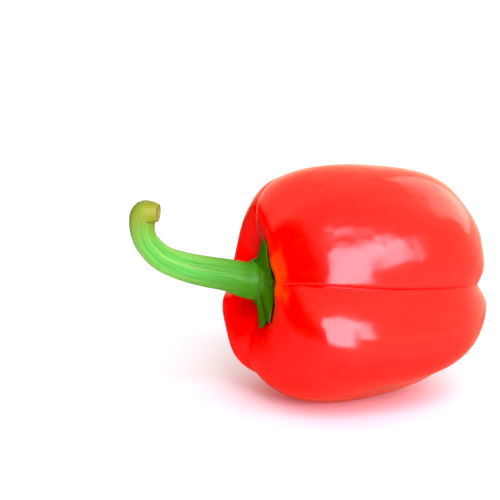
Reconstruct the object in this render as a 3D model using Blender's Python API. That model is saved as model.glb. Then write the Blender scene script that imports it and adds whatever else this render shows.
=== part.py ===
# A red bell pepper, as picked, lying on its side on the surface z = 0.
# It has two pieces: the fruit, which grew as one body with four lobes, and the green calyx with its stem.
# Units are metres and +Z is up. The fruit's core runs along X, with the stem end towards -X.

import math

import bmesh
import bpy
import numpy as np
from mathutils import Matrix, Vector

MM = 0.001
TURN = 2.0 * math.pi

# Pose of the fruit on the surface
CORE_TILT = 4.0  # degrees that the stem end is higher than the blossom end
FLAT_DEPTH = 0.8 * MM  # how far the flesh is flattened where it rests

# Fruit, measured from the widest ring of the core
STEM_REACH = 47.0 * MM
BLOSSOM_REACH = 45.0 * MM
CAVITY_DEPTH = 13.3 * MM
CAVITY_RADIUS = 21.0 * MM
CAVITY_STEEPNESS = 1.65
CAVITY_ONSET = 0.4  # share of the stem half over which the hollow begins
DIMPLE_DEPTH = 9.0 * MM
DIMPLE_RADIUS = 13.0 * MM
FURROW_CALM_RADIUS = 12.0 * MM  # inside this, the furrows fade into the centre
SHOULDER_CALM_RADIUS = 16.0 * MM  # inside this, the lobes' ends fade to one height

# Furrows between the lobes
FURROW_DEPTH_STEM = 3.2 * MM
FURROW_DEPTH_BELLY = 2.4 * MM
FURROW_DEPTH_BLOSSOM = 2.7 * MM
FURROW_SHARPNESS = 3.0
FURROW_SHARPNESS_STEM = 7.0
FOLD_DEPTH = 1.5 * MM  # the wider valley that each furrow opens into at the blossom end
FOLD_WIDTH = 0.34  # of half a lobe
CREASE_ROUNDING = 1.0 * MM

# The full lobe below the first furrow. Angles are degrees round the core, counted down from that furrow.
BROW_HEIGHT = 6.0 * MM
BROW_OFF = 31.0
BROW_WIDTH = 18.0
BULGE_HEIGHT = 4.2 * MM
BULGE_REACH = 21.0
BULGE_FADE = 26.0
LIP_TURN = 0.5  # the crisp edge above the furrow
LIP_SPREAD = 15.0
LIP_SINK = 0.12  # shares of the bulge's height
LIP_FULLNESS = 0.25

# Gentle swells of the skin: height, waves round the core, waves along it, phase
SWELLS = (
    (0.45 * MM, 3, 2.0, 0.6),
    (0.35 * MM, 7, 3.1, 2.1),
    (0.25 * MM, 11, 4.3, 4.0),
)

# Each lobe starts at its furrow, in degrees round the core from -Y towards +Z, with lengths in millimetres.
# twist turns the furrow at the ends, bow bends it at the belly, and deep scales its depth at the stem end.
# taper widens the lobe towards the stem end, closing narrows it at both ends, and square makes an end boxy.
LOBES = (
    dict(furrow=12.6, twist=0.6, bow=-4.8, deep=0.05, radius=44.3, taper=-0.034, closing=0.215,
         shoulder=4.0, tip=-7.6, square_stem=3.8, square_blossom=3.65),
    dict(furrow=107.0, twist=10.0, bow=2.0, deep=0.5, radius=43.9, taper=0.105, closing=-0.01,
         shoulder=-4.8, tip=-0.4, square_stem=4.3, square_blossom=3.3),
    dict(furrow=188.0, twist=0.0, bow=1.5, deep=1.0, radius=42.6, taper=-0.01, closing=0.19,
         shoulder=8.9, tip=1.4, square_stem=4.9, square_blossom=1.57),
    dict(furrow=265.0, twist=0.0, bow=-2.0, deep=1.0, radius=41.5, taper=0.25, closing=0.165,
         shoulder=1.2, tip=-2.1, square_stem=3.2, square_blossom=4.2),
)

# Calyx, which sits in the hollow between the shoulders
CALYX_GAP = 0.4 * MM
CALYX_RADIUS = 9.0 * MM
COLLAR_RADIUS = 7.2 * MM
COLLAR_REACH = 44.2 * MM  # along the core
COLLAR_RISE = 1.8 * MM  # the stem grows a little above the core
COLLAR_EDGE = 0.4 * MM
COLLAR_STEP = 0.6 * MM  # the ledge below the collar, on its lower side
SEPAL_THICKNESS = 1.4 * MM
TIP_THINNING = 0.7 * MM
RIB_HEIGHT = 0.3 * MM
RIM_EDGE = 0.1 * MM
RIM_THICKNESS = 0.2 * MM
UNDER_SHARES = (0.82, 0.55, 0.28, 0.0)  # of the rim's distance from the core
# The sepals' upper side: share of the way from the collar to the rim, and of the fall to it
UPPER_FALLS = ((0.0, 0.0), (0.2, 0.45), (0.45, 0.72), (0.7, 0.88), (0.88, 0.96))
# Sepals: degrees round the core, distance of the tip from the core, half width in degrees, bluntness, lift
SEPALS = (
    (18.0, 12.5 * MM, 34.0, 1.0, 0.2 * MM),
    (61.0, 19.6 * MM, 40.0, 1.2, 0.0 * MM),
    (138.0, 12.0 * MM, 34.0, 1.0, 0.0 * MM),
    (200.0, 10.0 * MM, 26.0, 1.0, 0.0 * MM),
    (302.0, 16.3 * MM, 36.0, 1.1, 0.3 * MM),
    (330.0, 19.5 * MM, 34.0, 1.1, 0.3 * MM),
)

# Stem from the collar to the cut end, in millimetres: towards -Y, up, along the core, and its radius there
STEM_ROUTE = (
    (0.0, 1.8, 44.9, 6.9),
    (0.0, 1.9, 47.0, 6.35),
    (0.0, 2.8, 50.5, 6.0),
    (0.0, 3.8, 54.5, 5.65),
    (0.0, 4.9, 61.2, 5.45),
    (0.0, 6.6, 69.3, 5.1),
    (0.3, 9.8, 78.1, 4.6),
    (0.8, 14.8, 83.7, 4.3),
    (1.2, 18.8, 85.8, 4.25),
    (1.8, 22.8, 86.5, 4.5),
    (2.8, 25.8, 86.0, 4.6),
    (4.1, 26.5, 83.8, 3.9),
    (5.3, 26.5, 81.7, 3.1),
)
STEM_RIBS = 5
STEM_RIB_SHARE = 0.045  # rib height at the collar, as a share of the stem's radius
CUT_HOLLOW = 0.8 * MM
CUT_ROWS = ((0.0, 1.0), (0.6, 0.8), (0.86, 0.0))  # share of the radius, share of the hollow's depth

# Mesh fineness
FRUIT_COLUMNS = 96
FRUIT_ROWS = 44
GREEN_COLUMNS = 48
STEM_ROWS = 30
FURROW_CROWDING = 0.8  # draws the columns towards the furrows
POLE = 1e-4  # keeps the end rows off the core itself
HOLLOW_POLAR = 0.75  # polar angle that the hollow's skin is looked up to
HOLLOW_STEPS = 160


def clear_scene():
    for item in list(bpy.data.objects):
        bpy.data.objects.remove(item)


def skin_material(name, colour, roughness):
    material = bpy.data.materials.new(name)
    material.use_nodes = True
    shader = material.node_tree.nodes["Principled BSDF"]
    shader.inputs["Base Color"].default_value = (*colour, 1.0)
    shader.inputs["Roughness"].default_value = roughness
    shader.inputs["Metallic"].default_value = 0.0
    return material


def lobe_values(key):
    return np.array([lobe[key] for lobe in LOBES])


def furrow_angles(polar):
    """Angles of the furrows at each polar angle, one column for each lobe."""
    polar = np.asarray(polar)[..., None]
    bend = lobe_values("twist") * np.cos(polar) + lobe_values("bow") * np.sin(polar) ** 2
    return np.radians(lobe_values("furrow") + bend)


def angle_round_core(polar, column):
    """Turns a column, 0 to 1 round the fruit, into an angle and the way across its lobe."""
    starts = furrow_angles(polar)
    widths = (np.roll(starts, -1, axis=-1) - starts) % TURN
    place = (np.asarray(column) % 1.0) * len(LOBES)
    lobe = np.minimum(place.astype(int), len(LOBES) - 1)
    across = place - lobe
    across = across - FURROW_CROWDING * np.sin(TURN * across) / TURN
    start = np.take_along_axis(starts, lobe[..., None], axis=-1)[..., 0]
    width = np.take_along_axis(widths, lobe[..., None], axis=-1)[..., 0]
    return start + width * across, across


def near_weights(angle, centres, focus):
    weights = np.exp(focus * np.cos(angle[..., None] - centres))
    return weights / weights.sum(axis=-1, keepdims=True)


def box_profile(polar, lobe_share):
    """Rounded box profile of a lobe from belly to ends: the way out, the way along, and the skin's lean."""
    out, along = np.sin(polar), np.cos(polar)
    square_stem = lobe_share @ lobe_values("square_stem")
    square_blossom = lobe_share @ lobe_values("square_blossom")
    power = np.where(along > 0.0, square_stem, square_blossom)
    size = (np.abs(out) ** power + np.abs(along) ** power) ** (-1.0 / power)
    out, along = size * out, size * along
    lean_out = np.abs(out) ** (power - 1.0)
    lean_along = np.sign(along) * np.abs(along) ** (power - 1.0)
    steepness = np.hypot(lean_out, lean_along)
    return out, along, lean_out / steepness, lean_along / steepness


def swell(angle, polar):
    total = np.zeros_like(angle)
    for height, round_waves, long_waves, phase in SWELLS:
        total += height * np.sin(round_waves * angle + phase) * np.cos(long_waves * polar + 2.0 * phase)
    return total


def fullness(angle, first_furrow, along):
    """The full lobe below the first furrow: a brow, a bulge, and a crisp lip where it meets the furrow."""
    before = np.degrees((first_furrow - angle + math.pi) % TURN - math.pi)
    brow = np.exp(-(((before - BROW_OFF) / BROW_WIDTH) ** 2))
    reach = np.clip(before / BULGE_REACH, 0.0, 1.0)
    past = np.clip(before - BULGE_REACH, 0.0, None)
    bulge = (1.0 - (1.0 - reach) ** 2 * (1.0 + reach)) * np.exp(-((past / BULGE_FADE) ** 2))
    above = np.clip(-before, 0.0, None)
    lip = LIP_FULLNESS * np.exp(-above / LIP_SPREAD) - (LIP_SINK + LIP_FULLNESS) * np.exp(-above / LIP_TURN)
    lip = np.where(before > 0.0, bulge - LIP_SINK, lip)
    fade = (1.0 - np.abs(along) ** np.where(along > 0.0, 8.0, 4.0)) ** 3
    return (BROW_HEIGHT * brow + BULGE_HEIGHT * lip) * fade


def furrow_depth(across, radius, deep, up, down):
    """How far the furrows and their folds press the skin in."""
    edge = 1.0 - np.abs(2.0 * across - 1.0)
    rounding = CREASE_ROUNDING / (radius * math.pi / len(LOBES) + CREASE_ROUNDING)
    edge = np.sqrt(edge**2 + rounding**2) - rounding * np.exp(-edge / (4.0 * rounding))
    sharpness = FURROW_SHARPNESS + (FURROW_SHARPNESS_STEM - FURROW_SHARPNESS) * up
    furrow = np.clip(1.0 - edge, 0.0, 1.0) ** sharpness
    depth = FURROW_DEPTH_BELLY + (FURROW_DEPTH_STEM * deep - FURROW_DEPTH_BELLY) * up**2
    depth = depth + (FURROW_DEPTH_BLOSSOM - FURROW_DEPTH_BELLY) * down**2
    fold = np.clip(1.0 - edge / FOLD_WIDTH, 0.0, 1.0) ** 1.2 * FOLD_DEPTH * down**3
    return depth * furrow + fold


def end_hollows(radius, along):
    """The change of height from the hollow at the stem end and the dimple at the blossom end."""
    onset = np.clip(along / CAVITY_ONSET, 0.0, 1.0)
    hollow = np.exp(-((np.abs(radius) / CAVITY_RADIUS) ** CAVITY_STEEPNESS)) * onset**2 * (3.0 - 2.0 * onset)
    dimple = np.exp(-((radius / DIMPLE_RADIUS) ** 2)) * (along <= 0.0)
    return DIMPLE_DEPTH * dimple - CAVITY_DEPTH * hollow


def fruit_surface(polar, column):
    """Points of the skin in the fruit's own frame: towards -Y, up, and along the core to the stem."""
    polar = np.asarray(polar, float)
    angle, across = angle_round_core(polar, column)
    starts = furrow_angles(polar)
    widths = (np.roll(starts, -1, axis=-1) - starts) % TURN
    lobe_share = near_weights(angle, starts + widths / 2.0, 3.0)
    deep = near_weights(angle, starts, 6.0) @ lobe_values("deep")
    out, along, lean_out, lean_along = box_profile(polar, lobe_share)
    up, down = np.clip(along, 0.0, 1.0), np.clip(-along, 0.0, 1.0)

    taper = lobe_share @ lobe_values("taper")
    closing = lobe_share @ lobe_values("closing")
    radius = lobe_share @ lobe_values("radius") * MM
    radius = radius * (1.0 + taper * along - closing * along**2) * out
    level = 1.0 - np.exp(-((radius / SHOULDER_CALM_RADIUS) ** 2))
    shoulders, tips = lobe_values("shoulder") * MM, lobe_values("tip") * MM
    shoulder = shoulders.mean() + (lobe_share @ shoulders - shoulders.mean()) * level
    tip = tips.mean() + (lobe_share @ tips - tips.mean()) * level
    reach = np.where(along > 0.0, STEM_REACH, BLOSSOM_REACH)
    height = reach * along + shoulder * up**1.5 - tip * down**1.5

    # Furrows and swells move the skin along its normal
    calm = 1.0 - np.exp(-((radius / FURROW_CALM_RADIUS) ** 2))
    swelling = swell(angle, polar) + fullness(angle, starts[..., 0], along)
    pressed = (furrow_depth(across, radius, deep, up, down) - swelling) * calm
    radius = radius - lean_out * pressed
    height = height - lean_along * pressed
    height = height + end_hollows(radius, along)
    return np.stack([radius * np.cos(angle), radius * np.sin(angle), height], axis=-1)


def fruit_frame():
    """Turns the fruit's own frame into the lying pose."""
    tilt = math.radians(CORE_TILT)
    towards_front = Vector((0.0, -1.0, 0.0))
    upwards = Vector((math.sin(tilt), 0.0, math.cos(tilt)))
    core = Vector((-math.cos(tilt), 0.0, math.sin(tilt)))
    return Matrix((towards_front, upwards, core)).transposed().to_4x4()


def sphere_mesh(columns, rows, place):
    """A UV sphere whose vertices are moved to place(row, column): row 0 is the pole at the stem's end."""
    mesh = bmesh.new()
    bmesh.ops.create_uvsphere(mesh, u_segments=columns, v_segments=rows, radius=1.0)
    for vertex in mesh.verts:
        row = round(math.acos(max(-1.0, min(1.0, vertex.co.z))) / math.pi * rows)
        column = round(math.atan2(vertex.co.y, vertex.co.x) / TURN * columns) % columns
        vertex.co = place(row, column)
    return mesh


def add_object(name, mesh, material):
    bmesh.ops.recalc_face_normals(mesh, faces=mesh.faces)
    data = bpy.data.meshes.new(name)
    mesh.to_mesh(data)
    mesh.free()
    data.materials.append(material)
    data.shade_smooth()
    item = bpy.data.objects.new(name, data)
    bpy.context.scene.collection.objects.link(item)
    return item


def make_fruit():
    polar = np.linspace(0.0, math.pi, FRUIT_ROWS + 1)
    polar[0], polar[-1] = POLE, math.pi - POLE
    column = np.arange(FRUIT_COLUMNS) / FRUIT_COLUMNS
    points = fruit_surface(*np.meshgrid(polar, column, indexing="ij"))
    points[0], points[-1] = points[0].mean(axis=0), points[-1].mean(axis=0)
    mesh = sphere_mesh(FRUIT_COLUMNS, FRUIT_ROWS, lambda row, col: points[row, col])
    mesh.transform(fruit_frame())
    return mesh


def flatten_rest(mesh):
    """Cuts the flesh flat where the fruit rests, and returns the height of the flat."""
    level = min(vertex.co.z for vertex in mesh.verts) + FLAT_DEPTH
    everything = mesh.verts[:] + mesh.edges[:] + mesh.faces[:]
    cut = bmesh.ops.bisect_plane(
        mesh, geom=everything, dist=1e-6, clear_outer=True,
        plane_co=(0.0, 0.0, level), plane_no=(0.0, 0.0, -1.0),
    )
    rim = [item for item in cut["geom_cut"] if isinstance(item, bmesh.types.BMEdge)]
    bmesh.ops.holes_fill(mesh, edges=rim)
    return level


def hollow_points(distance, column):
    """Points of the skin in the stem hollow, at these distances from the core."""
    polar = np.linspace(POLE, HOLLOW_POLAR, HOLLOW_STEPS)
    lines = fruit_surface(*np.meshgrid(polar, column, indexing="ij"))
    found = []
    for place, reach in enumerate(distance):
        line = lines[:, place]
        away = np.hypot(line[:, 0], line[:, 1])
        found.append([np.interp(reach, away, line[:, axis]) for axis in range(3)])
    return np.array(found)


def calyx_rim(angle):
    """The rim's distance from the core, out to each sepal's tip, and how far the rim lifts."""
    rim, lift = CALYX_RADIUS + 0.0 * angle, 0.0 * angle
    for centre, tip, half_width, bluntness, tip_lift in SEPALS:
        off = np.abs((angle - math.radians(centre) + math.pi) % TURN - math.pi)
        share = np.clip(bluntness * (1.0 - off / math.radians(half_width)), 0.0, 1.0)
        rim = np.maximum(rim, CALYX_RADIUS + (tip - CALYX_RADIUS) * share**1.3)
        lift = np.maximum(lift, tip_lift * share**2)
    return rim, lift


def smooth_route(points, count):
    """Evenly spaced points on a Catmull-Rom curve through the route, with the values carried along it."""
    points = np.asarray(points, float)
    padded = np.vstack([2 * points[0] - points[1], points, 2 * points[-1] - points[-2]])
    fine = []
    for before, start, end, after in zip(padded, padded[1:], padded[2:], padded[3:]):
        for step in np.linspace(0.0, 1.0, 24, endpoint=False):
            fine.append(0.5 * (2 * start + (end - before) * step
                               + (2 * before - 5 * start + 4 * end - after) * step**2
                               + (3 * start - before - 3 * end + after) * step**3))
    fine = np.array(fine + [points[-1]])
    steps = np.linalg.norm(np.diff(fine[:, :3], axis=0), axis=1)
    length = np.concatenate([[0.0], np.cumsum(steps)])
    stations = np.linspace(0.0, length[-1], count)
    values = [np.interp(stations, length, column) for column in fine.T]
    return np.stack(values, axis=1)


def stem_rings(angle):
    """Rings of the ribbed stem from the collar to the cut end, and the last ring's centre and direction."""
    route = smooth_route(STEM_ROUTE, STEM_ROWS) * MM
    centres, radii = route[:, :3], route[:, 3]
    along = np.gradient(centres, axis=0)
    along /= np.linalg.norm(along, axis=1, keepdims=True)
    across = np.array([1.0, 0.0, 0.0])
    ridges = 2.0 * np.abs(np.cos(STEM_RIBS * angle / 2.0)) ** 3 - 0.85
    rings = []
    for row in range(STEM_ROWS):
        across = across - along[row] * (across @ along[row])
        across /= np.linalg.norm(across)
        beside = np.cross(along[row], across)
        ribs = 1.0 + STEM_RIB_SHARE * (1.0 - 0.8 * row / STEM_ROWS) * ridges
        ring = np.outer(np.cos(angle) * ribs, across) + np.outer(np.sin(angle) * ribs, beside)
        rings.append(centres[row] + radii[row] * ring)
    return rings, centres[-1], along[-1]


def lying_rows(angle, columns, distance, raised):
    """A row of points this far from the core, raised above the skin of the hollow."""
    core = np.array([0.0, 0.0, 1.0])
    return hollow_points(distance + 0.0 * angle, columns) + np.outer(raised + 0.0 * angle, core)


def make_calyx_and_stem():
    columns = np.arange(GREEN_COLUMNS) / GREEN_COLUMNS
    angle = angle_round_core(np.full(len(columns), 0.3), columns)[0]
    rim, lift = calyx_rim(angle)
    ribs = RIB_HEIGHT * np.cos(STEM_RIBS * angle)
    outward = np.stack([np.cos(angle), np.sin(angle), 0.0 * angle], axis=1)
    core = np.array([0.0, 0.0, 1.0])

    # Cut end, which is slightly hollow, then the stem down to the collar
    stem, end, direction = stem_rings(angle)
    spokes = stem[-1] - end
    rows = [end - direction * CUT_HOLLOW * sink + share * spokes for share, sink in CUT_ROWS]
    rows += stem[::-1]

    # Collar, and the sepals' upper side out to the rim
    middle = np.array([0.0, COLLAR_RISE, COLLAR_REACH])
    rows.append(outward * COLLAR_RADIUS + middle)
    thickness = SEPAL_THICKNESS - TIP_THINNING * (rim - rim.min()) / (rim.max() - rim.min())
    edge = lying_rows(angle, columns, rim, CALYX_GAP + thickness + lift)
    ledge = COLLAR_STEP * np.clip(0.35 - 0.65 * np.sin(angle), 0.0, 1.0)
    step = outward * (COLLAR_RADIUS + COLLAR_EDGE) + middle - np.outer(ledge, core)
    for share, fall in UPPER_FALLS:
        row = step + (edge - step) * share
        row[:, 2] = step[:, 2] + (edge[:, 2] - step[:, 2]) * fall + ribs * (1.0 - share)
        rows.append(row)
    rows.append(edge)

    # Rim and under side, back to the core
    rows.append(lying_rows(angle, columns, rim + RIM_EDGE, CALYX_GAP + RIM_THICKNESS + lift))
    for share in UNDER_SHARES:
        rows.append(lying_rows(angle, columns, rim * share, CALYX_GAP + 0.5 * lift * share))
    for pole in (0, -1):
        rows[pole] = np.tile(rows[pole].mean(axis=0), (GREEN_COLUMNS, 1))
    mesh = sphere_mesh(GREEN_COLUMNS, len(rows) - 1, lambda row, col: rows[row][col])
    mesh.transform(fruit_frame())
    return mesh


def corners(meshes):
    points = np.array([vertex.co for mesh in meshes for vertex in mesh.verts])
    return points.min(axis=0), points.max(axis=0)


def main():
    clear_scene()
    fruit = make_fruit()
    level = flatten_rest(fruit)
    green = make_calyx_and_stem()
    low, high = corners((fruit, green))
    shift = Vector((-(low[0] + high[0]) / 2.0, -(low[1] + high[1]) / 2.0, -level))
    for mesh in (fruit, green):
        bmesh.ops.translate(mesh, verts=mesh.verts, vec=shift)
    add_object("fruit", fruit, skin_material("red_skin", (0.72, 0.018, 0.010), 0.22))
    add_object("calyx_and_stem", green, skin_material("green_stem", (0.22, 0.50, 0.07), 0.50))


main()
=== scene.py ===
# A red bell pepper lying on its side, with its green calyx and stem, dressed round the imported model.
import math

import bmesh
import bpy
import numpy as np
from mathutils import Matrix, Vector


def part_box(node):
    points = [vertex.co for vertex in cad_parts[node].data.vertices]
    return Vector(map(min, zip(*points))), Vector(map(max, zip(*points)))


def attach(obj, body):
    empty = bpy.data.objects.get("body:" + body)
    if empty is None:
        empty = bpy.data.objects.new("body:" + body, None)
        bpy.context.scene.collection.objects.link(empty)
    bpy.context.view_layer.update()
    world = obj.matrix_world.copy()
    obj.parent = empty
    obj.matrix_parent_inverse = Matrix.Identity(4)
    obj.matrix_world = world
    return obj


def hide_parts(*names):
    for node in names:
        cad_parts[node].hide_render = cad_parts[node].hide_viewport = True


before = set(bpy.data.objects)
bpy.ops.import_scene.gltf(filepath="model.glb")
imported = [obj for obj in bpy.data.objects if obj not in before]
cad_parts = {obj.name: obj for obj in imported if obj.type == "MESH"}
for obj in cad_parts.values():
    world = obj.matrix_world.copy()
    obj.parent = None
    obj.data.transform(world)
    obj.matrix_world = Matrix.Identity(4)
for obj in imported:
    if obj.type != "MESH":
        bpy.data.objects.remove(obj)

mm = 0.001
turn = 2.0 * math.pi
poleGap = 1e-4               # radians that keep the end rows off the core itself
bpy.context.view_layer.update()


# Shared mesh helpers

def linkPiece(name, mesh, material):
    bmesh.ops.recalc_face_normals(mesh, faces=mesh.faces)
    data = bpy.data.meshes.new(name)
    mesh.to_mesh(data)
    mesh.free()
    data.materials.append(material)
    data.shade_smooth()
    piece = bpy.data.objects.new(name, data)
    bpy.context.scene.collection.objects.link(piece)
    return piece


# a UV sphere whose vertices go to points[row, column]; marks are numbers kept on the vertices
def roundMesh(columns, rows, points, marks):
    mesh = bmesh.new()
    bmesh.ops.create_uvsphere(mesh, u_segments=columns, v_segments=rows, radius=1.0)
    layers = {}
    for name, values in marks.items():
        kinds = mesh.verts.layers.float_vector if values.ndim == 3 else mesh.verts.layers.float
        layers[name] = kinds.new(name)
    for vertex in mesh.verts:
        row = round(math.acos(max(-1.0, min(1.0, vertex.co.z))) / math.pi * rows)
        column = round(math.atan2(vertex.co.y, vertex.co.x) / turn * columns) % columns
        vertex.co = points[row, column]
        for name, layer in layers.items():
            value = marks[name][row, column]
            vertex[layer] = Vector(value) if marks[name].ndim == 3 else float(value)
    return mesh


# The fruit: one body with four lobes, flattened a little where it rests

fruitBody = {
    "coreTilt": 4.0,           # degrees that the stem end is higher
    "stemReach": 47.0,         # lengths are in millimetres from the widest ring
    "blossomReach": 45.0,
    "cavityDepth": 13.3,
    "cavityRadius": 21.0,
    "cavitySteepness": 1.65,
    "cavityOnset": 0.4,        # share of the stem half over which the hollow begins
    "dimpleDepth": 9.0,
    "dimpleRadius": 13.0,
    "furrowCalm": 12.0,        # inside this radius the furrows fade
    "shoulderCalm": 16.0,      # inside this radius the lobes' ends meet
    "furrowDepths": (3.2, 2.4, 2.7),   # stem end, belly, blossom end
    "furrowSharpness": (3.0, 7.0),     # belly, stem end
    "foldDepth": 1.5,
    "foldWidth": 0.34,
    "creaseRounding": 1.0,
    "brow": 6.0,               # on the lobe below the first furrow: height, degrees down to it, width
    "browOff": 31.0,
    "browWidth": 18.0,
    "bulge": 4.2,              # between that furrow and the brow: height, degrees down to its top, fade
    "bulgeReach": 21.0,
    "bulgeFade": 26.0,
    "lipTurn": 0.5,            # degrees of the crisp edge above the furrow
    "lipSink": 0.12,           # shares of the bulge
    "lipFullness": 0.25,
    "lipSpread": 15.0,
    "swells": ((0.45, 3, 2.0, 0.6), (0.35, 7, 3.1, 2.1), (0.25, 11, 4.3, 4.0)),
    "lobeFocus": 3.0,          # how sharply one lobe's numbers give way to the next one's
    "furrowFocus": 6.0,
    "creaseFocus": 14.0,       # how narrow the painted shade line in a furrow is
    "hollowPolar": 0.75,       # radians from the core that the hollow's skin is looked up to
    "hollowSteps": 160,
    "columns": 400,
    "rows": 230,
    "crowding": 0.8,           # draws the columns towards the furrows
}

# Each lobe starts at its furrow, in degrees round the core from -Y towards +Z. twist turns the furrow at the
# ends, bow bends it at the belly, and deep scales its depth at the stem end. taper widens the lobe towards
# the stem end, closing narrows it at both ends, and a square number makes that end boxy.
fruitLobes = (
    {"furrow": 12.6, "twist": 0.6, "bow": -4.8, "deep": 0.05, "radius": 44.3, "taper": -0.034,
     "closing": 0.215, "shoulder": 4.0, "tip": -7.6, "squareStem": 3.8, "squareBlossom": 3.65},
    {"furrow": 107.0, "twist": 10.0, "bow": 2.0, "deep": 0.5, "radius": 43.9, "taper": 0.105,
     "closing": -0.01, "shoulder": -4.8, "tip": -0.4, "squareStem": 4.3, "squareBlossom": 3.3},
    {"furrow": 188.0, "twist": 0.0, "bow": 1.5, "deep": 1.0, "radius": 42.6, "taper": -0.01,
     "closing": 0.19, "shoulder": 8.9, "tip": 1.4, "squareStem": 4.9, "squareBlossom": 1.57},
    {"furrow": 265.0, "twist": 0.0, "bow": -2.0, "deep": 1.0, "radius": 41.5, "taper": 0.25,
     "closing": 0.165, "shoulder": 1.2, "tip": -2.1, "squareStem": 3.2, "squareBlossom": 4.2},
)


def lobeNumbers(key):
    return np.array([lobe[key] for lobe in fruitLobes])


def furrowAngles(polar):
    polar = np.asarray(polar)[..., None]
    bend = lobeNumbers("twist") * np.cos(polar) + lobeNumbers("bow") * np.sin(polar) ** 2
    return np.radians(lobeNumbers("furrow") + bend)


def angleRoundCore(polar, column):
    starts = furrowAngles(polar)
    widths = (np.roll(starts, -1, axis=-1) - starts) % turn
    place = (np.asarray(column) % 1.0) * len(fruitLobes)
    lobe = np.minimum(place.astype(int), len(fruitLobes) - 1)
    across = place - lobe
    across = across - fruitBody["crowding"] * np.sin(turn * across) / turn
    start = np.take_along_axis(starts, lobe[..., None], axis=-1)[..., 0]
    width = np.take_along_axis(widths, lobe[..., None], axis=-1)[..., 0]
    return start + width * across, across


def nearWeights(angle, centres, focus):
    weights = np.exp(focus * np.cos(angle[..., None] - centres))
    return weights / weights.sum(axis=-1, keepdims=True)


# skin points, towards -Y, up and along the core, with how deep in a crease each lies
def fruitSkinAt(polar, column):
    body = fruitBody
    polar = np.asarray(polar, float)
    angle, across = angleRoundCore(polar, column)
    starts = furrowAngles(polar)
    widths = (np.roll(starts, -1, axis=-1) - starts) % turn
    lobeShare = nearWeights(angle, starts + widths / 2.0, body["lobeFocus"])
    furrowShare = nearWeights(angle, starts, body["furrowFocus"])

    # rounded box profile of the lobe
    out, along = np.sin(polar), np.cos(polar)
    stemSide = along > 0.0
    squareStem = lobeShare @ lobeNumbers("squareStem")
    squareBlossom = lobeShare @ lobeNumbers("squareBlossom")
    power = np.where(stemSide, squareStem, squareBlossom)
    size = (np.abs(out) ** power + np.abs(along) ** power) ** (-1.0 / power)
    out, along = size * out, size * along
    leanOut = np.abs(out) ** (power - 1.0)
    leanAlong = np.sign(along) * np.abs(along) ** (power - 1.0)
    steepness = np.hypot(leanOut, leanAlong)
    leanOut, leanAlong = leanOut / steepness, leanAlong / steepness

    up, down = np.clip(along, 0.0, 1.0), np.clip(-along, 0.0, 1.0)
    radius = lobeShare @ lobeNumbers("radius")
    radius = radius * (1.0 + lobeShare @ lobeNumbers("taper") * along
                       - lobeShare @ lobeNumbers("closing") * along**2) * out
    level = 1.0 - np.exp(-((radius / body["shoulderCalm"]) ** 2))
    shoulders, tips = lobeNumbers("shoulder"), lobeNumbers("tip")
    shoulder = shoulders.mean() + (lobeShare @ shoulders - shoulders.mean()) * level
    tip = tips.mean() + (lobeShare @ tips - tips.mean()) * level
    height = np.where(stemSide, body["stemReach"], body["blossomReach"]) * along
    height = height + shoulder * up**1.5 - tip * down**1.5

    # furrows and folds press the skin in along its normal, and swells lift it
    calm = 1.0 - np.exp(-((radius / body["furrowCalm"]) ** 2))
    edge = 1.0 - np.abs(2.0 * across - 1.0)
    rounding = body["creaseRounding"] / (radius * math.pi / len(fruitLobes) + body["creaseRounding"])
    edge = np.sqrt(edge**2 + rounding**2) - rounding * np.exp(-edge / (4.0 * rounding))
    bellySharp, stemSharp = body["furrowSharpness"]
    furrow = np.clip(1.0 - edge, 0.0, 1.0) ** (bellySharp + (stemSharp - bellySharp) * up)
    stemDepth, bellyDepth, blossomDepth = body["furrowDepths"]
    depth = bellyDepth + (stemDepth * (furrowShare @ lobeNumbers("deep")) - bellyDepth) * up**2
    depth = depth + (blossomDepth - bellyDepth) * down**2
    fold = np.clip(1.0 - edge / body["foldWidth"], 0.0, 1.0) ** 1.2 * body["foldDepth"] * down**3
    swell = np.zeros_like(angle)
    for rise, roundWaves, longWaves, phase in body["swells"]:
        swell += rise * np.sin(roundWaves * angle + phase) * np.cos(longWaves * polar + 2.0 * phase)
    before = np.degrees((starts[..., 0] - angle + math.pi) % turn - math.pi)
    brow = np.exp(-(((before - body["browOff"]) / body["browWidth"]) ** 2))
    reach = np.clip(before / body["bulgeReach"], 0.0, 1.0)
    past = np.clip(before - body["bulgeReach"], 0.0, None)
    bulge = (1.0 - (1.0 - reach) ** 2 * (1.0 + reach)) * np.exp(-((past / body["bulgeFade"]) ** 2))
    above = np.clip(-before, 0.0, None)
    fuller = body["lipFullness"] * np.exp(-above / body["lipSpread"])
    lip = fuller - (body["lipSink"] + body["lipFullness"]) * np.exp(-above / body["lipTurn"])
    lip = np.where(before > 0.0, bulge - body["lipSink"], lip)
    fade = (1.0 - np.abs(along) ** np.where(stemSide, 8.0, 4.0)) ** 3
    swell += (body["brow"] * brow + body["bulge"] * lip) * fade
    pressed = (depth * furrow + fold - swell) * calm
    radius = radius - leanOut * pressed
    height = height - leanAlong * pressed

    # hollow at the stem end and dimple at the blossom end
    onset = np.clip(along / body["cavityOnset"], 0.0, 1.0)
    hollow = np.exp(-((np.abs(radius) / body["cavityRadius"]) ** body["cavitySteepness"]))
    hollow = hollow * onset**2 * (3.0 - 2.0 * onset)
    dimple = np.exp(-((radius / body["dimpleRadius"]) ** 2)) * ~stemSide
    height = height - body["cavityDepth"] * hollow + body["dimpleDepth"] * dimple
    points = np.stack([radius * np.cos(angle), radius * np.sin(angle), height], axis=-1) * mm
    # how deep in a crease each point lies, which places the painted shade in the furrows
    crease = np.clip(1.0 - edge, 0.0, 1.0) ** body["creaseFocus"] * calm
    return points, crease, hollow, dimple


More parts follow.
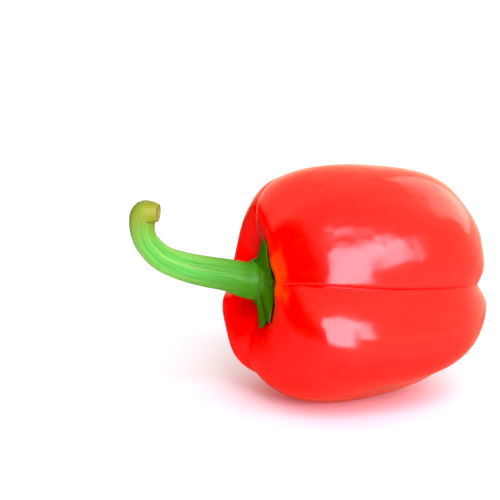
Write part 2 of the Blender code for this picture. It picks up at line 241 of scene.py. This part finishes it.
def lyingPose():
    tilt = math.radians(fruitBody["coreTilt"])
    front = Vector((0.0, -1.0, 0.0))
    upwards = Vector((math.sin(tilt), 0.0, math.cos(tilt)))
    core = Vector((-math.cos(tilt), 0.0, math.sin(tilt)))
    return Matrix((front, upwards, core)).transposed().to_4x4()


def meshCorners(mesh):
    points = np.array([vertex.co for vertex in mesh.verts])
    return points.min(axis=0), points.max(axis=0)


def makeFruit(material):
    body = fruitBody
    polar = np.linspace(0.0, math.pi, body["rows"] + 1)
    polar[0], polar[-1] = poleGap, math.pi - poleGap
    grid = np.meshgrid(polar, np.arange(body["columns"]) / body["columns"], indexing="ij")
    points, crease, hollow, dimple = fruitSkinAt(*grid)
    points[0], points[-1] = points[0].mean(axis=0), points[-1].mean(axis=0)
    spin = angleRoundCore(*grid)[0]
    grain = np.stack([np.cos(spin), np.sin(spin), points[..., 2] / (body["blossomReach"] * mm)], axis=-1)
    marks = {"crease": crease, "hollow": hollow, "dimple": dimple, "grain": grain}
    mesh = roundMesh(body["columns"], body["rows"], points, marks)
    mesh.transform(lyingPose())

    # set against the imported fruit, then cut where it rests
    low, high = meshCorners(mesh)
    nodeLow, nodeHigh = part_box("fruit")
    shift = Vector((
        (nodeLow.x + nodeHigh.x - low[0] - high[0]) / 2.0,
        (nodeLow.y + nodeHigh.y - low[1] - high[1]) / 2.0,
        nodeHigh.z - high[2],
    ))
    bmesh.ops.translate(mesh, verts=mesh.verts, vec=shift)
    everything = mesh.verts[:] + mesh.edges[:] + mesh.faces[:]
    cut = bmesh.ops.bisect_plane(
        mesh, geom=everything, dist=1e-7, clear_outer=True,
        plane_co=(0.0, 0.0, 0.0), plane_no=(0.0, 0.0, -1.0),
    )
    rim = [item for item in cut["geom_cut"] if isinstance(item, bmesh.types.BMEdge)]
    bmesh.ops.holes_fill(mesh, edges=rim)
    piece = linkPiece("fruitFlesh", mesh, material)
    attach(piece, "root")
    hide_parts("fruit")
    print("fruit: four lobes, shifted by", [round(value / mm, 3) for value in shift], "mm")
    return shift


# The calyx and the stem: one green body in the hollow

greenBody = {
    "gap": 0.1,                # between the calyx and the skin, in millimetres
    "calyxRadius": 9.0,
    "collarRadius": 7.2,
    "collarReach": 44.2,
    "collarRise": 1.8,
    "collarStep": 0.6,
    "sepalThickness": 1.4,
    "tipThinning": 0.7,
    "ribHeight": 0.3,
    "stemRibs": 5,
    "ribShare": 0.045,          # of the stem's radius, at the collar
    "fineRibs": 23,
    "fineRibShare": 0.005,
    "cutHollow": 0.8,
    "cutFloor": 0.6,            # share of the radius that the hollow's floor takes up
    "cutRows": ((0.68, 0.1), (0.75, 0.3), (0.81, 0.6), (0.87, 0.85), (0.93, 0.97)),
    "collarEdge": 0.4,
    "upperFalls": ((0.0, 0.0), (0.2, 0.45), (0.45, 0.72), (0.7, 0.88), (0.88, 0.96)),
    "rimEdge": 0.1,
    "rimThickness": 0.15,
    "underShares": (0.9, 0.75, 0.6, 0.45, 0.3, 0.15, 0.0),
    "calyxPolar": 0.3,          # radians from the core where the green columns take their angles
    "grainLength": 20.0,
    "columns": 180,
    "stemRows": 110,
    "calyxRows": 60,
}

# Degrees round the core, the tip's distance from it, half width in degrees, bluntness, lift of the tip
sepals = (
    (18.0, 12.5, 34.0, 1.0, 0.2),
    (61.0, 19.6, 40.0, 1.2, 0.0),
    (138.0, 12.0, 34.0, 1.0, 0.0),
    (200.0, 10.0, 26.0, 1.0, 0.0),
    (302.0, 16.3, 36.0, 1.1, 0.3),
    (330.0, 19.5, 34.0, 1.1, 0.3),
)

# From the collar to the cut end: towards -Y, up, along the core, radius
stemRoute = (
    (0.0, 1.8, 44.9, 6.9), (0.0, 1.9, 47.0, 6.35), (0.0, 2.8, 50.5, 6.0), (0.0, 3.8, 54.5, 5.65),
    (0.0, 4.9, 61.2, 5.45), (0.0, 6.6, 69.3, 5.1), (0.3, 9.8, 78.1, 4.6), (0.8, 14.8, 83.7, 4.3),
    (1.2, 18.8, 85.8, 4.25), (1.8, 22.8, 86.5, 4.5), (2.8, 25.8, 86.0, 4.6), (4.1, 26.5, 83.8, 3.9),
    (5.3, 26.5, 81.7, 3.1),
)


# points of the skin in the stem hollow, this far from the core
def hollowPoints(distance, column):
    polar = np.linspace(poleGap, fruitBody["hollowPolar"], fruitBody["hollowSteps"])
    lines = fruitSkinAt(*np.meshgrid(polar, column, indexing="ij"))[0]
    found = []
    for place, reach in enumerate(distance):
        line = lines[:, place]
        away = np.hypot(line[:, 0], line[:, 1])
        found.append([np.interp(reach, away, line[:, axis]) for axis in range(3)])
    return np.array(found)


def calyxRim(angle):
    rim, lift = greenBody["calyxRadius"] + 0.0 * angle, 0.0 * angle
    for centre, tip, halfWidth, bluntness, tipLift in sepals:
        off = np.abs((angle - math.radians(centre) + math.pi) % turn - math.pi)
        share = np.clip(bluntness * (1.0 - off / math.radians(halfWidth)), 0.0, 1.0)
        rim = np.maximum(rim, greenBody["calyxRadius"] + (tip - greenBody["calyxRadius"]) * share**1.3)
        lift = np.maximum(lift, tipLift * share**2)
    return rim, lift


# a Catmull-Rom curve through the control rows, evenly spaced by the mean distance between them
def smoothRows(rows, count):
    rows = np.asarray(rows, float)
    padded = np.concatenate([[2 * rows[0] - rows[1]], rows, [2 * rows[-1] - rows[-2]]])
    fine = []
    for before, start, end, after in zip(padded, padded[1:], padded[2:], padded[3:]):
        for step in np.linspace(0.0, 1.0, 24, endpoint=False):
            fine.append(0.5 * (2 * start + (end - before) * step
                               + (2 * before - 5 * start + 4 * end - after) * step**2
                               + (3 * start - before - 3 * end + after) * step**3))
    fine = np.array(fine + [rows[-1]])
    steps = np.linalg.norm(np.diff(fine[..., :3], axis=0), axis=-1)
    steps = steps.reshape(len(fine) - 1, -1).mean(axis=1)
    length = np.concatenate([[0.0], np.cumsum(steps)])
    stations = np.linspace(0.0, length[-1], count)
    place = np.interp(stations, length, np.arange(len(fine)))
    lower = np.minimum(place.astype(int), len(fine) - 2)
    share = (place - lower).reshape((-1,) + (1,) * (fine.ndim - 1))
    return fine[lower] * (1.0 - share) + fine[lower + 1] * share


def stemRings(angle):
    body = greenBody
    route = smoothRows(stemRoute, body["stemRows"]) * mm
    centres, radii = route[:, :3], route[:, 3]
    along = np.gradient(centres, axis=0)
    along /= np.linalg.norm(along, axis=1, keepdims=True)
    across = np.array([1.0, 0.0, 0.0])
    ridges = 2.0 * np.abs(np.cos(body["stemRibs"] * angle / 2.0)) ** 3 - 0.85
    rings = []
    for row in range(body["stemRows"]):
        across = across - along[row] * (across @ along[row])
        across /= np.linalg.norm(across)
        beside = np.cross(along[row], across)
        travel = row / body["stemRows"]
        fine = body["fineRibShare"] * np.sin(body["fineRibs"] * angle + 2.0 * math.sin(5.0 * travel))
        ribs = 1.0 + body["ribShare"] * (1.0 - 0.8 * travel) * ridges + fine
        ring = np.outer(np.cos(angle) * ribs, across) + np.outer(np.sin(angle) * ribs, beside)
        rings.append(centres[row] + radii[row] * ring)
    return np.array(rings), centres[-1], along[-1]


def makeGreen(material, shift):
    body = greenBody
    columns = np.arange(body["columns"]) / body["columns"]
    angle = angleRoundCore(np.full(len(columns), body["calyxPolar"]), columns)[0]
    rim, lift = calyxRim(angle)
    ribs = body["ribHeight"] * np.cos(body["stemRibs"] * angle)
    outward = np.stack([np.cos(angle), np.sin(angle), 0.0 * angle], axis=1)
    core = np.array([0.0, 0.0, 1.0])

    def lying(distance, raised):
        skin = hollowPoints((distance + 0.0 * angle) * mm, columns)
        return skin + np.outer((raised + 0.0 * angle) * mm, core)

    # cut end, slightly hollow
    stem, end, direction = stemRings(angle)
    spokes = stem[-1] - end
    bottom = -direction * body["cutHollow"] * mm
    capRows = [end + bottom + share * spokes for share in np.linspace(0.0, body["cutFloor"], 8)]
    capRows += [end + bottom * (1.0 - fall) + share * spokes for share, fall in body["cutRows"]]

    # collar and the sepals' upper side, out to the rim
    middle = np.array([0.0, body["collarRise"], body["collarReach"]]) * mm
    thickness = body["sepalThickness"] - body["tipThinning"] * (rim - rim.min()) / (rim.max() - rim.min())
    edge = lying(rim, body["gap"] + thickness + lift)
    ledge = body["collarStep"] * np.clip(0.35 - 0.65 * np.sin(angle), 0.0, 1.0)
    step = outward * (body["collarRadius"] + body["collarEdge"]) * mm + middle - np.outer(ledge * mm, core)
    upper = [stem[0], outward * body["collarRadius"] * mm + middle]
    for share, fall in body["upperFalls"]:
        row = step + (edge - step) * share
        row[:, 2] = step[:, 2] + (edge[:, 2] - step[:, 2]) * fall + ribs * mm * (1.0 - share)
        upper.append(row)
    upper.append(edge)
    upper = smoothRows(upper, body["calyxRows"])[1:]

    # rim and under side, back to the core
    under = [
        lying(rim + body["rimEdge"], body["gap"] + 0.5 * thickness + lift),
        lying(rim + 0.5 * body["rimEdge"], body["gap"] + body["rimThickness"] + lift),
    ]
    under += [lying(rim * share, body["gap"] + 0.5 * lift * share) for share in body["underShares"]]

    points = np.concatenate([capRows, stem[::-1], upper, under])
    points[0], points[-1] = points[0].mean(axis=0), points[-1].mean(axis=0)
    rowCount = len(points)
    capEnd, stemEnd = len(capRows), len(capRows) + len(stem)
    # 0 on the cut face, 1 at the collar, 2 at the rim, 3 underneath
    along = np.zeros(rowCount)
    along[capEnd:stemEnd] = np.linspace(0.0, 1.0, len(stem))
    along[stemEnd:stemEnd + len(upper)] = np.linspace(1.0, 2.0, len(upper) + 1)[1:]
    along[stemEnd + len(upper):] = np.linspace(2.0, 3.0, len(under) + 1)[1:]
    cutFace = np.zeros(rowCount)
    cutFace[:capEnd] = 1.0
    flat = np.ones((1, len(columns)))
    steps = np.linalg.norm(np.diff(points, axis=0), axis=-1).mean(axis=1)
    length = np.concatenate([[0.0], np.cumsum(steps)])
    tall = np.ones((rowCount, 1))
    travel = (length / (body["grainLength"] * mm))[:, None] * flat
    grain = np.stack([np.cos(angle) * tall, np.sin(angle) * tall, travel], axis=-1)
    marks = {"along": along[:, None] * flat, "cutFace": cutFace[:, None] * flat, "grain": grain}
    mesh = roundMesh(len(columns), rowCount - 1, points, marks)
    mesh.transform(lyingPose())
    bmesh.ops.translate(mesh, verts=mesh.verts, vec=shift)
    piece = linkPiece("stemAndCalyx", mesh, material)
    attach(piece, "root")
    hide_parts("calyx_and_stem")
    print("calyx and stem:", len(sepals), "sepals and", body["stemRibs"], "ribs")


# Materials

def newMaterial(name):
    material = bpy.data.materials.new(name)
    material.use_nodes = True
    return material, material.node_tree, material.node_tree.nodes["Principled BSDF"]


def feed(tree, socket, value):
    if isinstance(value, bpy.types.NodeSocket):
        tree.links.new(value, socket)
    else:
        socket.default_value = value


def numberMark(tree, name):
    node = tree.nodes.new("ShaderNodeAttribute")
    node.attribute_name = name
    return node


def noise(tree, vector, scale, detail=3.0, roughness=0.5):
    node = tree.nodes.new("ShaderNodeTexNoise")
    feed(tree, node.inputs["Vector"], vector)
    node.inputs["Scale"].default_value = scale
    node.inputs["Detail"].default_value = detail
    node.inputs["Roughness"].default_value = roughness
    return node.outputs["Fac"]


def stretch(tree, vector, scale):
    node = tree.nodes.new("ShaderNodeMapping")
    feed(tree, node.inputs["Vector"], vector)
    node.inputs["Scale"].default_value = scale
    return node.outputs["Vector"]


def math2(tree, kind, first, second=0.0):
    node = tree.nodes.new("ShaderNodeMath")
    node.operation = kind
    feed(tree, node.inputs[0], first)
    feed(tree, node.inputs[1], second)
    return node.outputs["Value"]


def remap(tree, value, low, high, newLow, newHigh):
    node = tree.nodes.new("ShaderNodeMapRange")
    feed(tree, node.inputs["Value"], value)
    for socket, number in zip(("From Min", "From Max", "To Min", "To Max"), (low, high, newLow, newHigh)):
        node.inputs[socket].default_value = number
    return node.outputs["Result"]


def mixColours(tree, share, first, second):
    node = tree.nodes.new("ShaderNodeMix")
    node.data_type = "RGBA"
    feed(tree, node.inputs["Factor"], share)
    feed(tree, node.inputs["A"], first if isinstance(first, bpy.types.NodeSocket) else (*first, 1.0))
    feed(tree, node.inputs["B"], second if isinstance(second, bpy.types.NodeSocket) else (*second, 1.0))
    return node.outputs["Result"]


def bump(tree, height, distance, strength, normal=None):
    node = tree.nodes.new("ShaderNodeBump")
    feed(tree, node.inputs["Height"], height)
    node.inputs["Distance"].default_value = distance
    node.inputs["Strength"].default_value = strength
    if normal:
        tree.links.new(normal, node.inputs["Normal"])
    return node.outputs["Normal"]


skinLook = {
    "red": (0.86, 0.0030, 0.0015),
    "deepRed": (0.82, 0.0022, 0.0012),
    # painted shade: the darker red in the furrows' creases
    "creaseShadeRed": (0.66, 0.0020, 0.0012),
    # painted shade: the darker red in the stem hollow
    "hollowShadeRed": (0.50, 0.0020, 0.0010),
    "paleRed": (0.88, 0.016, 0.007),
    "scarBrown": (0.20, 0.085, 0.022),
    "roughness": (0.17, 0.23),
    "coat": 0.75,
    "coatRoughness": 0.17,
    "coatInHollow": 0.15,
    "coatIor": 1.45,
    "ior": 1.25,
    # cells of each noise in a metre, and how the streaks' grain is stretched
    "blotchScale": 55.0,
    "roughScale": 130.0,
    "raggedScale": 700.0,
    "speckScale": 520.0,
    "waveScale": 80.0,
    "poreScale": 1500.0,
    "streakStretch": (26.0, 26.0, 1.6),
    # where each noise or mark sets in and is full, and the largest share of its colour
    "blotchRange": (0.35, 0.65),
    "streakRange": (0.52, 0.75),
    "roughRange": (0.3, 0.7),
    "hollowShadeRange": (0.2, 0.6),
    "dullRange": (0.15, 0.55),
    "scarRange": (0.955, 0.985),
    "raggedness": 0.03,
    "speckRange": (0.10, 0.22),
    "streakShare": 0.35,
    "creaseShadeShare": 0.75,
    "speckShare": 0.30,
    # bumps: height in metres and strength
    "waves": (0.0012, 0.42),
    "lines": (0.0003, 0.05),
    "pores": (0.00005, 0.04),
}


def waxySkin():
    look = skinLook
    material, tree, shader = newMaterial("waxyRedSkin")
    place = tree.nodes.new("ShaderNodeTexCoord").outputs["Object"]
    grain = numberMark(tree, "grain").outputs["Vector"]
    blotches = noise(tree, place, look["blotchScale"], 4.0, 0.55)
    streaks = noise(tree, stretch(tree, grain, look["streakStretch"]), 1.0, 3.0, 0.6)
    share = remap(tree, blotches, *look["blotchRange"], 0.0, 1.0)
    colour = mixColours(tree, share, look["red"], look["deepRed"])
    share = remap(tree, streaks, *look["streakRange"], 0.0, look["streakShare"])
    colour = mixColours(tree, share, colour, look["paleRed"])
    # painted shade: a darker red line deep in each furrow's crease
    crease = numberMark(tree, "crease").outputs["Fac"]
    share = remap(tree, crease, 0.0, 1.0, 0.0, look["creaseShadeShare"])
    colour = mixColours(tree, share, colour, look["creaseShadeRed"])
    # painted shade: darker red in the stem hollow
    hollow = numberMark(tree, "hollow").outputs["Fac"]
    colour = mixColours(tree, remap(tree, hollow, *look["hollowShadeRange"], 0.0, 1.0), colour, look["hollowShadeRed"])
    dimple = numberMark(tree, "dimple").outputs["Fac"]
    stray = noise(tree, place, look["raggedScale"])
    stray = remap(tree, stray, 0.0, 1.0, -look["raggedness"], look["raggedness"])
    share = remap(tree, math2(tree, "ADD", dimple, stray), *look["scarRange"], 0.0, 1.0)
    colour = mixColours(tree, share, colour, look["scarBrown"])
    specks = tree.nodes.new("ShaderNodeTexVoronoi")
    feed(tree, specks.inputs["Vector"], place)
    specks.inputs["Scale"].default_value = look["speckScale"]
    share = remap(tree, specks.outputs["Distance"], *look["speckRange"], look["speckShare"], 0.0)
    colour = mixColours(tree, share, colour, look["paleRed"])
    feed(tree, shader.inputs["Base Color"], colour)
    rough = noise(tree, place, look["roughScale"], 5.0)
    feed(tree, shader.inputs["Roughness"], remap(tree, rough, *look["roughRange"], *look["roughness"]))
    coat = remap(tree, hollow, *look["dullRange"], look["coat"], look["coatInHollow"])
    feed(tree, shader.inputs["Coat Weight"], coat)
    shader.inputs["Coat Roughness"].default_value = look["coatRoughness"]
    shader.inputs["Coat IOR"].default_value = look["coatIor"]
    shader.inputs["IOR"].default_value = look["ior"]
    waves = bump(tree, noise(tree, place, look["waveScale"], 2.0), *look["waves"])
    lines = bump(tree, streaks, *look["lines"], waves)
    pores = bump(tree, noise(tree, place, look["poreScale"], 2.0), *look["pores"], lines)
    feed(tree, shader.inputs["Normal"], pores)
    feed(tree, shader.inputs["Coat Normal"], lines)
    return material


greenLook = {
    "fresh": (0.060, 0.275, 0.042),
    "deep": (0.030, 0.140, 0.003),
    "dark": (0.028, 0.080, 0.002),
    "yellow": (0.20, 0.31, 0.050),
    "olive": (0.150, 0.140, 0.005),
    "cork": (0.15, 0.13, 0.030),
    # painted shade under the collar's ledge
    "ledgeShadeBrown": (0.06, 0.035, 0.008),
    "roughness": (0.34, 0.52),
    "coat": 0.03,
    "coatRoughness": 0.25,
    "ior": 1.25,
    "fibreStretch": (11.0, 11.0, 1.1),
    "broadStretch": (2.2, 2.2, 0.5),
    "pithScale": 900.0,
    "gritScale": 1300.0,
    # where each noise or mark sets in and is full, and the largest share of its colour
    "fibreRange": (0.40, 0.66),
    "broadRange": (0.52, 0.72),
    # painted rim light: the stem's top and bottom sides turn lighter and yellower
    "rimLightRange": (0.5, 0.95),
    "roughRange": (0.3, 0.7),
    "pithRange": (0.35, 0.65),
    "towardsCalyx": (0.55, 0.95),
    "onCalyx": (0.98, 1.5),
    "towardsCut": (0.27, 0.03),
    "ledge": 1.07,
    "ledgeRange": (0.05, 0.01),
    "belowRange": (0.0, -0.6),
    "fibreShare": 0.8,
    "broadShare": 0.35,
    "rimLightShare": 0.4,
    "darkShare": 0.85,
    "oliveShare": 0.9,
    "ledgeShadeShare": 0.7,
    "pithShare": 0.7,
    # bumps: height in metres and strength
    "ridges": (0.0004, 0.22),
    "grit": (0.0001, 0.35),
}


def stemGreen():
    look = greenLook
    material, tree, shader = newMaterial("fibrousGreen")
    place = tree.nodes.new("ShaderNodeTexCoord").outputs["Object"]
    grain = numberMark(tree, "grain").outputs["Vector"]
    along = numberMark(tree, "along").outputs["Fac"]
    fibres = noise(tree, stretch(tree, grain, look["fibreStretch"]), 1.0, 4.0, 0.6)
    broad = noise(tree, stretch(tree, grain, look["broadStretch"]), 1.0, 3.0, 0.5)
    share = remap(tree, fibres, *look["fibreRange"], 0.0, look["fibreShare"])
    colour = mixColours(tree, share, look["fresh"], look["deep"])
    share = remap(tree, broad, *look["broadRange"], 0.0, look["broadShare"])
    colour = mixColours(tree, share, colour, look["yellow"])
    around = tree.nodes.new("ShaderNodeSeparateXYZ")
    tree.links.new(grain, around.inputs["Vector"])
    # painted rim light: lighter, yellower green along the stem's top and bottom sides
    rimLightSides = math2(tree, "ABSOLUTE", around.outputs["Y"])
    share = remap(tree, rimLightSides, *look["rimLightRange"], 0.0, look["rimLightShare"])
    colour = mixColours(tree, share, colour, look["yellow"])
    # darker towards the calyx, olive towards the cut end
    for span, most, tone in (("towardsCalyx", 1.0, "deep"), ("onCalyx", look["darkShare"], "dark"),
                             ("towardsCut", look["oliveShare"], "olive")):
        colour = mixColours(tree, remap(tree, along, *look[span], 0.0, most), colour, look[tone])
    # painted shade: a dark brown line just under the collar, on its lower side only, below the ledge
    ledge = math2(tree, "ABSOLUTE", math2(tree, "SUBTRACT", along, look["ledge"]))
    below = remap(tree, around.outputs["Y"], *look["belowRange"], 0.0, look["ledgeShadeShare"])
    ring = math2(tree, "MULTIPLY", remap(tree, ledge, *look["ledgeRange"], 0.0, 1.0), below)
    colour = mixColours(tree, ring, colour, look["ledgeShadeBrown"])
    cutFace = numberMark(tree, "cutFace").outputs["Fac"]
    pores = noise(tree, place, look["pithScale"])
    share = remap(tree, pores, *look["pithRange"], 0.0, look["pithShare"])
    pith = mixColours(tree, share, look["cork"], look["olive"])
    colour = mixColours(tree, cutFace, colour, pith)
    feed(tree, shader.inputs["Base Color"], colour)
    feed(tree, shader.inputs["Roughness"], remap(tree, fibres, *look["roughRange"], *look["roughness"]))
    shader.inputs["Coat Weight"].default_value = look["coat"]
    shader.inputs["IOR"].default_value = look["ior"]
    shader.inputs["Coat Roughness"].default_value = look["coatRoughness"]
    ridges = bump(tree, fibres, *look["ridges"])
    grit = bump(tree, noise(tree, place, look["gritScale"], 3.0), *look["grit"], ridges)
    feed(tree, shader.inputs["Normal"], grit)
    return material


shift = makeFruit(waxySkin())
makeGreen(stemGreen(), shift)


# Floor, light and camera

studio = {
    "floorHalf": 3.0,                    # metres
    "floorWhite": (0.93, 0.93, 0.93),
    "floorSeen": (0.62, 0.62, 0.62),
    "floorRoughness": 0.75,
    "floorSpecular": 0.2,
    "shadowReach": (0.10, 0.26),         # metres from the middle: where the shadow fades, and is gone
    # how bright the floor glows in the skin's gloss, a painted reflection with painted shade behind, to the
    # left and near the fruit: from, to, and the brightness there
    "glossAcross": (-0.06, 0.0, 0.05, 0.68),
    "glossBehind": (0.0, 0.08, 1.0, 0.15),
    "glossNear": (0.02, 0.16, 0.18, 1.0),
    "glossFar": (0.12, 0.25, 0.0, 0.7),
    "glossFarRight": (-0.03, 0.05, 0.0, 1.0),
    "floorGlow": 0.7,                    # what the floor adds to the light on the fruit
    "floorDrop": 0.05,                   # millimetres
    "floorGlossTint": (1.0, 0.95, 0.66),
    "skyTint": (1.0, 0.96, 0.66),
    "skyForLight": (1.35, 1.35, 1.35),
    "leftForLight": (0.42, 0.17, 0.16),
    "skyInGloss": (0.62, 1.05),          # up to the middle, and on the far right
    "whiteness": 1.1,
    # dark parts of the sky: direction, and where they set in and are full
    "darkSides": (((-0.90, -0.15, -0.30), 0.20, 0.44), ((-0.60, 0.80, -0.90), 0.72, 0.90)),
    "yaw": 22.0,                         # degrees that the camera stands left of the front
    "elevation": 12.0,
    "distance": 0.600,
    "aim": (-17.115, 18.432, 52.442),    # millimetres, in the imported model's frame
    "roll": -0.881,
    "lens": 117.784,
    "blackLevel": 0.010,
}

# Direction from the fruit (degrees right of the front, degrees up), roll, distance, size, radiance, colour
softboxes = {
    "widePane": {"turned": -6.5, "raised": 27.0, "rolled": -2.0, "away": 1.1,
                 "size": (0.73, 1.19), "glow": 11.0, "colour": (0.82, 0.82, 1.0)},
    "narrowPane": {"turned": 22.5, "raised": 29.5, "rolled": 0.0, "away": 1.1,
                   "size": (0.20, 0.60), "glow": 10.0, "colour": (0.82, 0.82, 1.0)},
    "rightPanel": {"turned": 115.0, "raised": 35.0, "rolled": 0.0, "away": 1.1,
                   "size": (0.6, 0.9), "glow": 1.9, "colour": (1.0, 0.94, 0.80)},
}


def rays(tree, kind):
    return tree.nodes.new("ShaderNodeLightPath").outputs[kind]


def paleFloor():
    mesh = bmesh.new()
    bmesh.ops.create_grid(mesh, x_segments=1, y_segments=1, size=studio["floorHalf"])
    bmesh.ops.translate(mesh, verts=mesh.verts, vec=(0.0, 0.0, -studio["floorDrop"] * mm))
    material, tree, shader = newMaterial("paleFloor")
    spot = tree.nodes.new("ShaderNodeTexCoord").outputs["Object"]
    place = tree.nodes.new("ShaderNodeSeparateXYZ")
    tree.links.new(spot, place.inputs["Vector"])
    length = tree.nodes.new("ShaderNodeVectorMath")
    length.operation = "LENGTH"
    tree.links.new(spot, length.inputs[0])
    across, behind, reach = place.outputs["X"], place.outputs["Y"], length.outputs["Value"]
    # in the skin's gloss the floor glows with a painted reflection, dimmer to the left, behind and close to
    # the fruit as painted shade
    share = remap(tree, across, *studio["glossAcross"])
    share = math2(tree, "MULTIPLY", share, remap(tree, behind, *studio["glossBehind"]))
    share = math2(tree, "MULTIPLY", share, remap(tree, reach, *studio["glossNear"]))
    far = remap(tree, reach, *studio["glossFar"])
    far = math2(tree, "MULTIPLY", far, remap(tree, across, *studio["glossFarRight"]))
    share = math2(tree, "MAXIMUM", share, far)
    inGloss = mixColours(tree, share, (0.0, 0.0, 0.0), studio["floorGlossTint"])
    colour = mixColours(tree, rays(tree, "Is Glossy Ray"), studio["floorWhite"], (0.0, 0.0, 0.0))
    colour = mixColours(tree, rays(tree, "Is Camera Ray"), colour, studio["floorSeen"])
    feed(tree, shader.inputs["Base Color"], colour)
    shader.inputs["Roughness"].default_value = studio["floorRoughness"]
    shader.inputs["Specular IOR Level"].default_value = studio["floorSpecular"]
    # the camera sees the shadow only close to the fruit, and plain white beyond it
    beyond = remap(tree, reach, *studio["shadowReach"], 0.0, 1.0)
    beyond = math2(tree, "MULTIPLY", beyond, rays(tree, "Is Camera Ray"))
    white = tree.nodes.new("ShaderNodeEmission")
    white.inputs["Strength"].default_value = studio["whiteness"]
    either = tree.nodes.new("ShaderNodeMixShader")
    for source, target in ((beyond, 0), (shader.outputs[0], 1), (white.outputs[0], 2)):
        tree.links.new(source, either.inputs[target])
    glow = mixColours(tree, rays(tree, "Is Diffuse Ray"), (0.0, 0.0, 0.0), (studio["floorGlow"],) * 3)
    feed(tree, shader.inputs["Emission Color"], mixColours(tree, rays(tree, "Is Glossy Ray"), glow, inGloss))
    shader.inputs["Emission Strength"].default_value = 1.0
    tree.links.new(either.outputs[0], tree.nodes["Material Output"].inputs["Surface"])
    linkPiece("paleFloor", mesh, material)


# the way to a place so many degrees right of the front and up, from the fruit
def wayTo(right, up):
    right, up = math.radians(right), math.radians(up)
    return Vector((math.sin(right) * math.cos(up), -math.cos(right) * math.cos(up), math.sin(up)))


def rolled(degrees, size):
    return Matrix.Rotation(math.radians(degrees), size, "Z")


def softLight(name, box):
    away = wayTo(box["turned"], box["raised"])
    width, height = box["size"]
    data = bpy.data.lights.new(name, "AREA")
    data.shape = "RECTANGLE"
    data.size, data.size_y = width, height
    data.energy = box["glow"] * math.pi * width * height
    data.color = box["colour"]
    light = bpy.data.objects.new(name, data)
    light.location = shift + away * box["away"]
    facing = (-away).to_track_quat("-Z", "Y").to_matrix() @ rolled(box["rolled"], 3)
    light.rotation_euler = facing.to_euler()
    light.visible_camera = False
    bpy.context.scene.collection.objects.link(light)


# white all round for the camera; for the light and the skin's gloss, darker on the dark sides
def studioSky():
    world = bpy.data.worlds.new("studio")
    bpy.context.scene.world = world
    world.use_nodes = True
    tree = world.node_tree
    tree.nodes.clear()
    direction = tree.nodes.new("ShaderNodeTexCoord").outputs["Generated"]
    shades = []
    for side, start, full in studio["darkSides"]:
        towards = tree.nodes.new("ShaderNodeVectorMath")
        towards.operation = "DOT_PRODUCT"
        tree.links.new(direction, towards.inputs[0])
        towards.inputs[1].default_value = side
        shades.append(remap(tree, towards.outputs["Value"], start, full, 0.0, 1.0))
    left = math2(tree, "MAXIMUM", *shades)
    light = mixColours(tree, left, studio["skyForLight"], studio["leftForLight"])
    across = tree.nodes.new("ShaderNodeSeparateXYZ")
    tree.links.new(direction, across.inputs["Vector"])
    brightness = remap(tree, across.outputs["X"], 0.0, 0.7, *studio["skyInGloss"])
    brightness = math2(tree, "MULTIPLY", brightness, math2(tree, "SUBTRACT", 1.0, left))
    gloss = mixColours(tree, brightness, (0.0, 0.0, 0.0), studio["skyTint"])
    lighting = tree.nodes.new("ShaderNodeBackground")
    tree.links.new(mixColours(tree, rays(tree, "Is Glossy Ray"), light, gloss), lighting.inputs["Color"])
    shown = tree.nodes.new("ShaderNodeBackground")
    shown.inputs["Color"].default_value = (1.0, 1.0, 1.0, 1.0)
    shown.inputs["Strength"].default_value = studio["whiteness"]
    either = tree.nodes.new("ShaderNodeMixShader")
    for source, target in ((rays(tree, "Is Camera Ray"), 0), (lighting.outputs[0], 1), (shown.outputs[0], 2)):
        tree.links.new(source, either.inputs[target])
    output = tree.nodes.new("ShaderNodeOutputWorld")
    tree.links.new(either.outputs[0], output.inputs["Surface"])


def studioCamera():
    data = bpy.data.cameras.new("studioCamera")
    data.lens = studio["lens"]
    data.sensor_width = 36.0
    camera = bpy.data.objects.new("studioCamera", data)
    place = shift + wayTo(-studio["yaw"], studio["elevation"]) * studio["distance"]
    aim = Vector(studio["aim"]) * mm
    turned = (aim - place).to_track_quat("-Z", "Y").to_matrix().to_4x4()
    camera.matrix_world = Matrix.Translation(place) @ turned @ rolled(studio["roll"], 4)
    bpy.context.scene.collection.objects.link(camera)
    bpy.context.scene.camera = camera


# deepens the darkest tones, as the photograph's are
def studioTone():
    settings = bpy.context.scene.view_settings
    settings.view_transform = "Standard"
    settings.use_curve_mapping = True
    settings.curve_mapping.black_level = (studio["blackLevel"],) * 3
    settings.curve_mapping.update()


paleFloor()
studioSky()
for boxName, softbox in softboxes.items():
    softLight(boxName, softbox)
studioCamera()
studioTone()
print("studio: floor, sky,", len(softboxes), "softboxes and camera")
